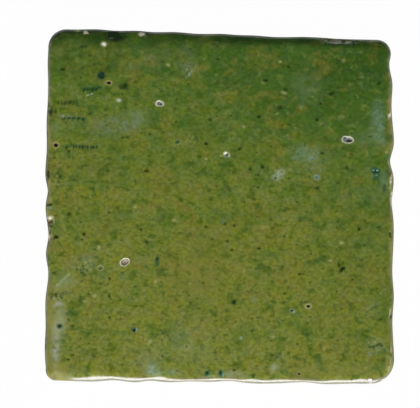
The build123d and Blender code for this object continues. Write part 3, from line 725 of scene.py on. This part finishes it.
# Paint: a colour and its strength at each point, how far the glaze is gone and how dull it is
paint = np.zeros((len(base), 4))
bare = np.where(above, 0.0, 1 - glazed)
bare[level > 2.9] = 1.0
dull = 0.95 * smooth_step(GLOSS_START, DULL_END, xy[:, 0]) * smooth_step(0.0, 0.1, roll)
dull *= lower_side * (level < 1.5)


def lay_paint(colour, amount):
    """Lays a colour over what is painted there already."""
    amount = np.clip(amount, 0, 1)[:, None]
    under = paint[:, 3:] * (1 - amount)
    mixed = np.array(colour[:3]) * amount + paint[:, :3] * under
    paint[:, 3:] = amount + under
    paint[:, :3] = mixed / np.maximum(paint[:, 3:], 1e-6)


fray = ripple(base, 0.9, 9)
cloud = ripple(base, 7.0, 10)
wisp = ripple(base * (0.6, 1.0, 1.0), 2.0, 11)
fleck = ripple(base, 1.3, 13)


def from_middle(mark):
    """How far each point is from a mark's middle, as a share of the way to its edge."""
    a, b = turned(xy - on_tile(mark.across, mark.down), mark.turn)
    return np.hypot(2 * a / mark.length, 2 * b / mark.width)


for bloom in BLOOMS:
    far = from_middle(bloom) + 0.3 * cloud + 0.3 * wisp + 0.2 * fleck
    tone = np.clip(0.8 + 0.9 * wisp + 0.5 * fleck, 0.1, 1.3)
    lay_paint(bloom.colour, bloom.amount * smooth_step(1.6, 0.1, far) * tone * above)

# The glaze lies thick and dark along the upper side, over a band that narrows to the right.
# The band is partly painted shade, because the upper side is turned away from the light
SHADED_THICK_START, SHADED_THICK_END = on_tile(130, 0)[0], on_tile(290, 0)[0]
SHADED_THICK_WIDTHS = 6.6, 3.6
upper_line = LIP_LINE[2 * SIDE_COLUMNS : 3 * SIDE_COLUMNS][::-1] + SHIFT
from_upper = np.interp(xy[:, 0], upper_line[:, 0], upper_line[:, 1]) - xy[:, 1]
reach = np.interp(xy[:, 0], (SHADED_THICK_START, SHADED_THICK_END), SHADED_THICK_WIDTHS)
thick_and_shaded = smooth_step(1.0, 0.4, (from_upper + 0.6 * wisp) / reach) * (0.65 + 0.6 * cloud + 0.3 * wisp)
thin_ridge = smooth_step(2.4, 1.2, from_upper) * smooth_step(5.0, 6.0, reach)
lay_paint(MOSS, 0.8 * thick_and_shaded * (1 - 0.5 * thin_ridge) * above)

# It pulls thin over the left and right rolls, where the body's tan shows, and darkens along the lip,
# most on the upper and left sides
uneven = np.clip(0.33 + 0.9 * cloud + 0.7 * wisp + 0.4 * fleck, 0, 1)
wander = roll + 0.12 * wisp + 0.08 * fleck
thin = smooth_step(0.1, 0.6, wander) * left_side + smooth_step(0.2, 0.75, wander) * right_side
lay_paint(TAN, thin * uneven * smooth_step(0.0, 0.3, roll) * on_side)
lip = smooth_step(0.6, 0.85, roll + 0.1 * fleck) * near_lip
lip_darkening = 0.95 * upper_side + 0.8 * left_side + 0.25 * right_side
lay_paint(UMBER, lip * lip_darkening * (0.85 + 0.6 * wisp))
# Painted shade: the left part of the upper roll, turned away from the light, is painted dark pine green,
# together with the thick glaze there
SHADED_ROLL_START, SHADED_ROLL_END = on_tile(210, 0)[0], on_tile(130, 0)[0]
shaded_upper_roll = smooth_step(SHADED_ROLL_START, SHADED_ROLL_END, xy[:, 0]) * upper_side
lay_paint(PINE, 0.85 * smooth_step(0.35, 0.7, roll + 0.15 * wisp) * shaded_upper_roll * near_lip)
dull = np.maximum(dull, 0.8 * lip * (1 - lower_side))

# The lower roll is greyed, but for its left end. The grey is partly greyed glaze and partly painted
# reflection round the highlight. The left end is painted browner and darker, partly as painted shade that
# tones down the box's light there
greyed_sheen = smooth_step(0.28, 0.5, roll + 0.06 * fleck) * smooth_step(DULL_END, GLOSS_START, xy[:, 0])
greyed_sheen_lip = smooth_step(0.6, 0.8, roll + 0.1 * wisp)
# Painted shade: rust brown darkens the lower roll's left end
lay_paint(RUST, 0.35 * smooth_step(0.2, 0.6, roll) * (1 - greyed_sheen) * lower_side * near_lip)
# Painted reflection: pewter grey round the lower roll's highlight, and steel grey at its lip
lay_paint(PEWTER_SHEEN, 0.72 * greyed_sheen * lower_side * near_lip)
lay_paint(STEEL, 0.45 * greyed_sheen * greyed_sheen_lip * lower_side * near_lip)

for scratch in SCRATCHES:
    start = np.array(on_tile(scratch.across, scratch.down))
    line = np.array(on_tile(scratch.to_across, scratch.to_down)) - start
    share = np.clip((xy - start) @ line / (line @ line), 0, 1)
    off = np.linalg.norm(xy - start - share[:, None] * line, axis=1) + 0.3 * fray
    lay_paint(scratch.colour, scratch.amount * smooth_step(scratch.width, 0.0, off) * above)

for pit in PITS:
    far = from_middle(pit) + 0.14 * fray
    far[~above] = 9
    ring_share = pit.ring_width / ((pit.length + pit.width) / 4)
    relief -= pit.depth * np.clip(1 - far**2, 0, 1) ** 0.8
    relief += pit.rim * np.exp(-(((far - 1.1) / ring_share) ** 2))
    lay_paint(pit.halo, pit.halo_amount * smooth_step(1 + 4.5 * ring_share, 1.0, far))
    lay_paint(pit.ring, pit.ring_amount * smooth_step(1 + 1.8 * ring_share, 1 + 0.7 * ring_share, far))
    lay_paint(pit.floor, pit.floor_amount * smooth_step(1.04, 0.78, far + 0.1 * fleck))
    dull = np.maximum(dull, pit.dull * smooth_step(1.1, 0.9, far))

for chip in CHIPS:
    middle, along, across, out = chip_frame(chip)
    offset = base - middle
    far = np.hypot(2 * offset @ along / chip.length, 2 * offset @ across / chip.width)
    far += 0.25 * fray + 0.2 * fleck + 0.3 * np.abs(offset @ out)
    scar = smooth_step(1.0, 0.8, far)
    relief -= chip.bite * np.clip(1 - far**2, 0, 1) ** 0.6 + 0.05 * scar * fray
    bare = np.maximum(bare, chip.bare * scar)
    lay_paint(chip.colour, scar * (0.85 + 0.4 * fray))
    broken = smooth_step(2.4, 4.0, chip.length)
    lay_paint(MILK, 0.5 * broken * scar * smooth_step(0.1, 0.6, fleck))
    lay_paint(POOL, 0.6 * broken * scar * smooth_step(-0.1, -0.5, fleck + 0.5 * fray))
    dull = np.maximum(dull, 0.7 * scar)

for spot in PALE_SPOTS + DARK_SPOTS:
    far = from_middle(spot) + 0.35 * fray
    far[~above] = 9
    relief -= spot.dip * smooth_step(1.0, 0.0, far)
    lay_paint(spot.colour, spot.amount * smooth_step(1.45, 0.4, far))

put((base + normal * relief[:, None]) * MM)
for polygon in mesh.polygons:
    polygon.use_smooth = True

marks = mesh.color_attributes.new("marks", "FLOAT_COLOR", "POINT")
marks.data.foreach_set("color", paint.ravel())
for name, values in (("bare", bare), ("dull", dull)):
    mesh.attributes.new(name, "FLOAT", "POINT").data.foreach_set("value", values)

scene = bpy.context.scene
tile = bpy.data.objects.new("glazed_tile_dressed", mesh)
scene.collection.objects.link(tile)


# Materials
SMOOTH = {"interpolation_type": "SMOOTHSTEP"}


def add(kind, sockets=(), **settings):
    """Adds a node to the tree in hand. A socket takes a value, a node or [node, output]."""
    node = tree.nodes.new("ShaderNode" + kind)
    for name, value in settings.items():
        setattr(node, name, value)
    for socket, value in dict(sockets).items():
        if isinstance(value, bpy.types.Node):
            value = [value, 0]
        if isinstance(value, list):
            tree.links.new(value[0].outputs[value[1]], node.inputs[socket])
        else:
            node.inputs[socket].default_value = value
    return node


def emptied(owner):
    """The owner's node tree, with nothing in it."""
    owner.use_nodes = True
    owner.node_tree.nodes.clear()
    return owner.node_tree


def stained(under, lumps, start, full, strength, hexcode):
    """Lays a colour over another where a pattern goes from start to full."""
    reach = {"From Min": start, "From Max": full, "To Max": strength}
    share = add("MapRange", {"Value": lumps, **reach}, **SMOOTH)
    return [add("Mix", {0: share, 6: under, 7: linear(hexcode)}, data_type="RGBA"), 2]


glaze = bpy.data.materials.new("copper_green_lead_glaze_on_terracotta")
tree = emptied(glaze)
place = add("TexCoord")
in_mm = add("VectorMath", {"Vector": [place, "Object"], "Scale": 1000.0}, operation="SCALE")
# Turned off the axes, so that no pattern lies along the tile's sides
askew = add("Mapping", {"Vector": in_mm, "Rotation": (0.5, 0.35, 0.6), "Scale": (0.85, 1.0, 1.0)})
# Each pattern by the length of its lumps in millimetres, its detail, its roughness and its warp
drift, mottle, cloudy, grain, peel, body_drift, grog = [
    add("TexNoise", {0: askew, "Scale": 1 / length, "Detail": detail, "Roughness": rough, "Distortion": warp})
    for length, detail, rough, warp in (
        (38.0, 2.0, 0.55, 0.0),  # where the glaze lies thicker or thinner
        (6.0, 3.0, 0.6, 0.6),  # iron and copper drawn together in the melt
        (2.4, 2.5, 0.55, 0.3),  # clouds of bubbles
        (0.9, 2.0, 0.55, 0.2),  # grain of the raw glaze
        (1.4, 2.0, 0.5, 0.0),  # orange peel of the glaze's surface
        (12.0, 3.0, 0.6, 0.0),  # uneven firing of the body
        (0.55, 3.0, 0.7, 0.0),  # grog in the body
    )
]

# The glaze lies greener towards the upper right and yellower towards the lower left. The ramp is also darker
# towards the upper side, partly as painted shade: the falloff of the light from the lower side is painted
# into the colour
slope = add("VectorMath", {0: in_mm, 1: (0.0022, 0.0088, 0.0)}, operation="DOT_PRODUCT")
lean = add("Math", {0: drift, 1: 0.5, 2: 0.25}, operation="MULTIPLY_ADD")
depth = add("Math", {0: [slope, "Value"], 1: lean}, operation="ADD")
pigment_and_shade = add("ValToRGB", {"Fac": depth})
ramp = pigment_and_shade.color_ramp
ramp.elements[0].position, ramp.elements[0].color = 0.1, linear("808938")
ramp.elements[1].position, ramp.elements[1].color = 1.0, linear("426022")
for position, colour in ((0.3, "7C8634"), (0.5, "738031"), (0.7, "60772D"), (0.85, "506C28")):
    ramp.elements.new(position).color = linear(colour)

# Iron browns it, copper greens it, and bubbles cloud it. The grain varies its tone and its blue
browned = stained(pigment_and_shade, mottle, 0.49, 0.66, 0.47, "827C34")
greened = stained(browned, mottle, 0.51, 0.34, 0.47, "4A6C2C")
blotched = stained(greened, cloudy, 0.48, 0.32, 0.66, "41621F")
paled = stained(blotched, cloudy, 0.53, 0.7, 0.5, "7F8846")
grain_range = {"From Min": 0.3, "From Max": 0.7, "To Min": 0.8, "To Max": 1.2}
blue_range = {"From Min": 0.35, "From Max": 0.65, "To Min": 0.74, "To Max": 1.26}
speck_tone = add("MapRange", {"Value": grain, **grain_range}, **SMOOTH)
tint = add("SeparateColor", {"Color": [cloudy, "Color"]})
blue_tone = add("MapRange", {"Value": [tint, 2], **blue_range}, **SMOOTH)
blue_speck = add("Math", {0: blue_tone, 1: speck_tone}, operation="MULTIPLY")
speck_colour = add("CombineXYZ", {0: speck_tone, 1: speck_tone, 2: blue_speck})
speckled = add("Mix", {0: 1.0, 6: paled, 7: speck_colour}, data_type="RGBA", blend_type="MULTIPLY")

# Pale flecks, mossy dots and pinholes in places a few millimetres apart, frayed by a warp.
# Each: size of a cell, largest radius, share of the cells with a dot, softness, strength, colour
nudge = add("VectorMath", {"Vector": [grain, "Color"], "Scale": 1.1}, operation="SCALE")
frayed_mm = add("VectorMath", {0: in_mm, 1: nudge}, operation="ADD")
drawn_out = add("Mapping", {"Vector": frayed_mm, "Scale": (0.75, 1.1, 1.0)})
dotted = [speckled, 2]
for cell, largest, filled_share, softness, amount, hexcode in (
    (5.2, 0.42, 0.5, 0.3, 0.5, "989C5C"),
    (3.9, 0.7, 0.5, 0.5, 0.6, "2C481E"),
    (2.9, 0.42, 0.6, 0.3, 0.75, "1C2C10"),
):
    cells = add("TexVoronoi", {"Vector": drawn_out, "Scale": 1 / cell}, voronoi_dimensions="2D")
    lot = add("SeparateColor", {"Color": [cells, "Color"]})
    radius = add("MapRange", {"Value": [lot, 0], "From Min": 1 - filled_share, "To Max": largest / cell})
    inside = add("Math", {0: radius, 1: [cells, "Distance"]}, operation="SUBTRACT")
    edge = {"From Min": -0.2 * softness / cell, "From Max": softness / cell}
    holes = add("MapRange", {"Value": inside, **edge, "To Max": amount}, **SMOOTH)
    dotted = [add("Mix", {0: holes, 6: dotted, 7: linear(hexcode)}, data_type="RGBA"), 2]

# What the listed marks say
painted = add("Attribute", attribute_name="marks")
marked = add("Mix", {0: [painted, "Alpha"], 6: dotted, 7: [painted, "Color"]}, data_type="RGBA")

# Terracotta body, cut with a wire and fired: pink-buff with grog of about 0.5 mm
body_fired = stained(linear("B98468"), body_drift, 0.35, 0.65, 1.0, "CFA283")
body_grog = stained(body_fired, grog, 0.56, 0.68, 0.7, "E2C8AE")
body_dark = stained(body_grog, grog, 0.42, 0.32, 0.6, "7A4E3C")
gone = add("Attribute", attribute_name="bare")
frayed = add("Math", {0: grog, 1: 0.5, 2: [gone, "Fac"]}, operation="MULTIPLY_ADD")
is_bare = add("MapRange", {"Value": frayed, "From Min": 0.6, "From Max": 0.85}, **SMOOTH)
coloured = add("Mix", {0: is_bare, 6: [marked, 2], 7: body_dark}, data_type="RGBA")

# The glaze is glassy, duller in pits, in chips' scars, at the lip of every side but the lower, and at the
# lower roll's left end, and the body is matt
GLAZE_IOR = 1.6
GLAZE_ROUGHNESS, DULL_ADDS, BODY_ROUGHNESS = 0.1, 0.7, 0.9
PEEL_HEIGHT, HOLE_DEPTH, GROG_HEIGHT = 0.012, 0.03, 0.25
dulled = add("Attribute", attribute_name="dull")
gloss = add("Math", {0: [dulled, "Fac"], 1: DULL_ADDS, 2: GLAZE_ROUGHNESS}, operation="MULTIPLY_ADD")
rough = add("Mix", {0: is_bare, 2: gloss, 3: BODY_ROUGHNESS})
peel_height = add("Math", {0: peel, 1: PEEL_HEIGHT}, operation="MULTIPLY")
hole_dip = add("Math", {0: holes, 1: -HOLE_DEPTH}, operation="MULTIPLY")
glaze_height = add("Math", {0: peel_height, 1: hole_dip}, operation="ADD")
body_height = add("Math", {0: grog, 1: GROG_HEIGHT}, operation="MULTIPLY")
height = add("Mix", {0: is_bare, 2: glaze_height, 3: body_height})
bump = add("Bump", {"Height": height, "Strength": 1.0, "Distance": MM})
shader = {"Base Color": [coloured, 2], "Roughness": rough, "Normal": bump, "IOR": GLAZE_IOR}
surface = add("BsdfPrincipled", shader)
add("OutputMaterial", {"Surface": surface})
mesh.materials.append(glaze)

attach(tile, "root")
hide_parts("glazed_tile")

# Stage: a white studio floor. Its white comes from its colour in the camera's and the gloss's rays
FLOOR_SIZE = 4.0
FLOOR_GAP = 0.05  # below the tile, so that the two don't coincide
FLOOR_WHITE = 0.98
floor_mesh = bpy.data.meshes.new("studio_floor")
half = FLOOR_SIZE / 2
floor_corners = [(-half, -half, 0), (half, -half, 0), (half, half, 0), (-half, half, 0)]
floor_mesh.from_pydata(floor_corners, [], [(0, 1, 2, 3)])
floor = bpy.data.objects.new("studio_floor", floor_mesh)
floor.location.z = -FLOOR_GAP * MM
scene.collection.objects.link(floor)
paper = bpy.data.materials.new("white_paper_sweep")
tree = emptied(paper)
matt = add("BsdfDiffuse", {"Color": (0.8, 0.8, 0.8, 1.0)})
white = add("Emission", {"Color": (1.0, 1.0, 1.0, 1.0), "Strength": 1.0})
ray = add("LightPath")
seen = add("Math", {0: [ray, "Is Camera Ray"], 1: [ray, "Is Glossy Ray"]}, operation="MAXIMUM")
through = add("Math", {0: seen, 1: [ray, "Is Transmission Ray"]}, operation="MAXIMUM")
share = add("Math", {0: through, 1: FLOOR_WHITE}, operation="MULTIPLY")
sweep = add("MixShader", {0: share, 1: matt, 2: white})
add("OutputMaterial", {"Surface": sweep})
floor_mesh.materials.append(paper)

# World: a low soft box on the tile's lower side, dim paper at the left and right, dark overhead
BOX_STRENGTH = 10.5
world = bpy.data.worlds.new("studio")
scene.world = world
tree = emptied(world)
sky = add("TexCoord")
direction = add("SeparateXYZ", {0: [sky, "Generated"]})
aside = add("Math", {0: [direction, "X"]}, operation="ABSOLUTE")
# Each: the part of the direction, from and to where it changes, and the strengths there
low, backwards, box_width, box_top, box_side = [
    add("MapRange", {0: part, 1: start, 2: end, 3: first, 4: last}, **SMOOTH)
    for part, start, end, first, last in (
        ([direction, "Z"], 0.8, 0.3, 0.015, 1.0),
        ([direction, "Y"], 0.7, 0.0, 0.1, 0.22),
        (aside, 0.45, 0.2, 0.0, 1.0),
        ([direction, "Z"], 0.66, 0.4, 0.0, 1.0),
        ([direction, "Y"], -0.3, -0.5, 0.0, BOX_STRENGTH),
    )
]
dim = add("Math", {0: low, 1: backwards}, operation="MULTIPLY")
box_front = add("Math", {0: box_width, 1: box_top}, operation="MULTIPLY")
box = add("Math", {0: box_front, 1: box_side}, operation="MULTIPLY")
glow = add("Math", {0: box, 1: dim}, operation="ADD")
ray = add("LightPath")
strength = add("Mix", {0: [ray, "Is Camera Ray"], 2: glow, 3: 1.0})
light = add("Background", {"Color": (1.0, 1.0, 1.0, 1.0), "Strength": strength})
add("OutputWorld", {"Surface": light})

# Overhead lamp behind crossed polarisers: it lights the colours and leaves no mirror image
LAMP_HEIGHT, LAMP_SIZE, LAMP_POWER = 2.0, 2.0, 22.0
lamp = bpy.data.lights.new("overhead_lamp", "AREA")
lamp.shape = "SQUARE"
lamp.size = LAMP_SIZE
lamp.energy = LAMP_POWER
lamp_object = bpy.data.objects.new("overhead_lamp", lamp)
lamp_object.location = (0.0, 0.0, LAMP_HEIGHT)
lamp_object.visible_glossy = False
scene.collection.objects.link(lamp_object)

# Camera straight above, as in the photograph
CAMERA_HEIGHT = 1.2
camera = bpy.data.cameras.new("camera")
camera.lens = camera.sensor_width * (CAMERA_HEIGHT - LIP_HEIGHT * MM) / (PHOTO_WIDTH * PIXEL * MM)
camera_object = bpy.data.objects.new("camera", camera)
off_x, off_y = on_tile(PHOTO_WIDTH / 2, PHOTO_HEIGHT / 2)
camera_object.location = (off_x * MM, off_y * MM, CAMERA_HEIGHT)
scene.collection.objects.link(camera_object)
scene.camera = camera_object
scene.view_settings.view_transform = "Standard"
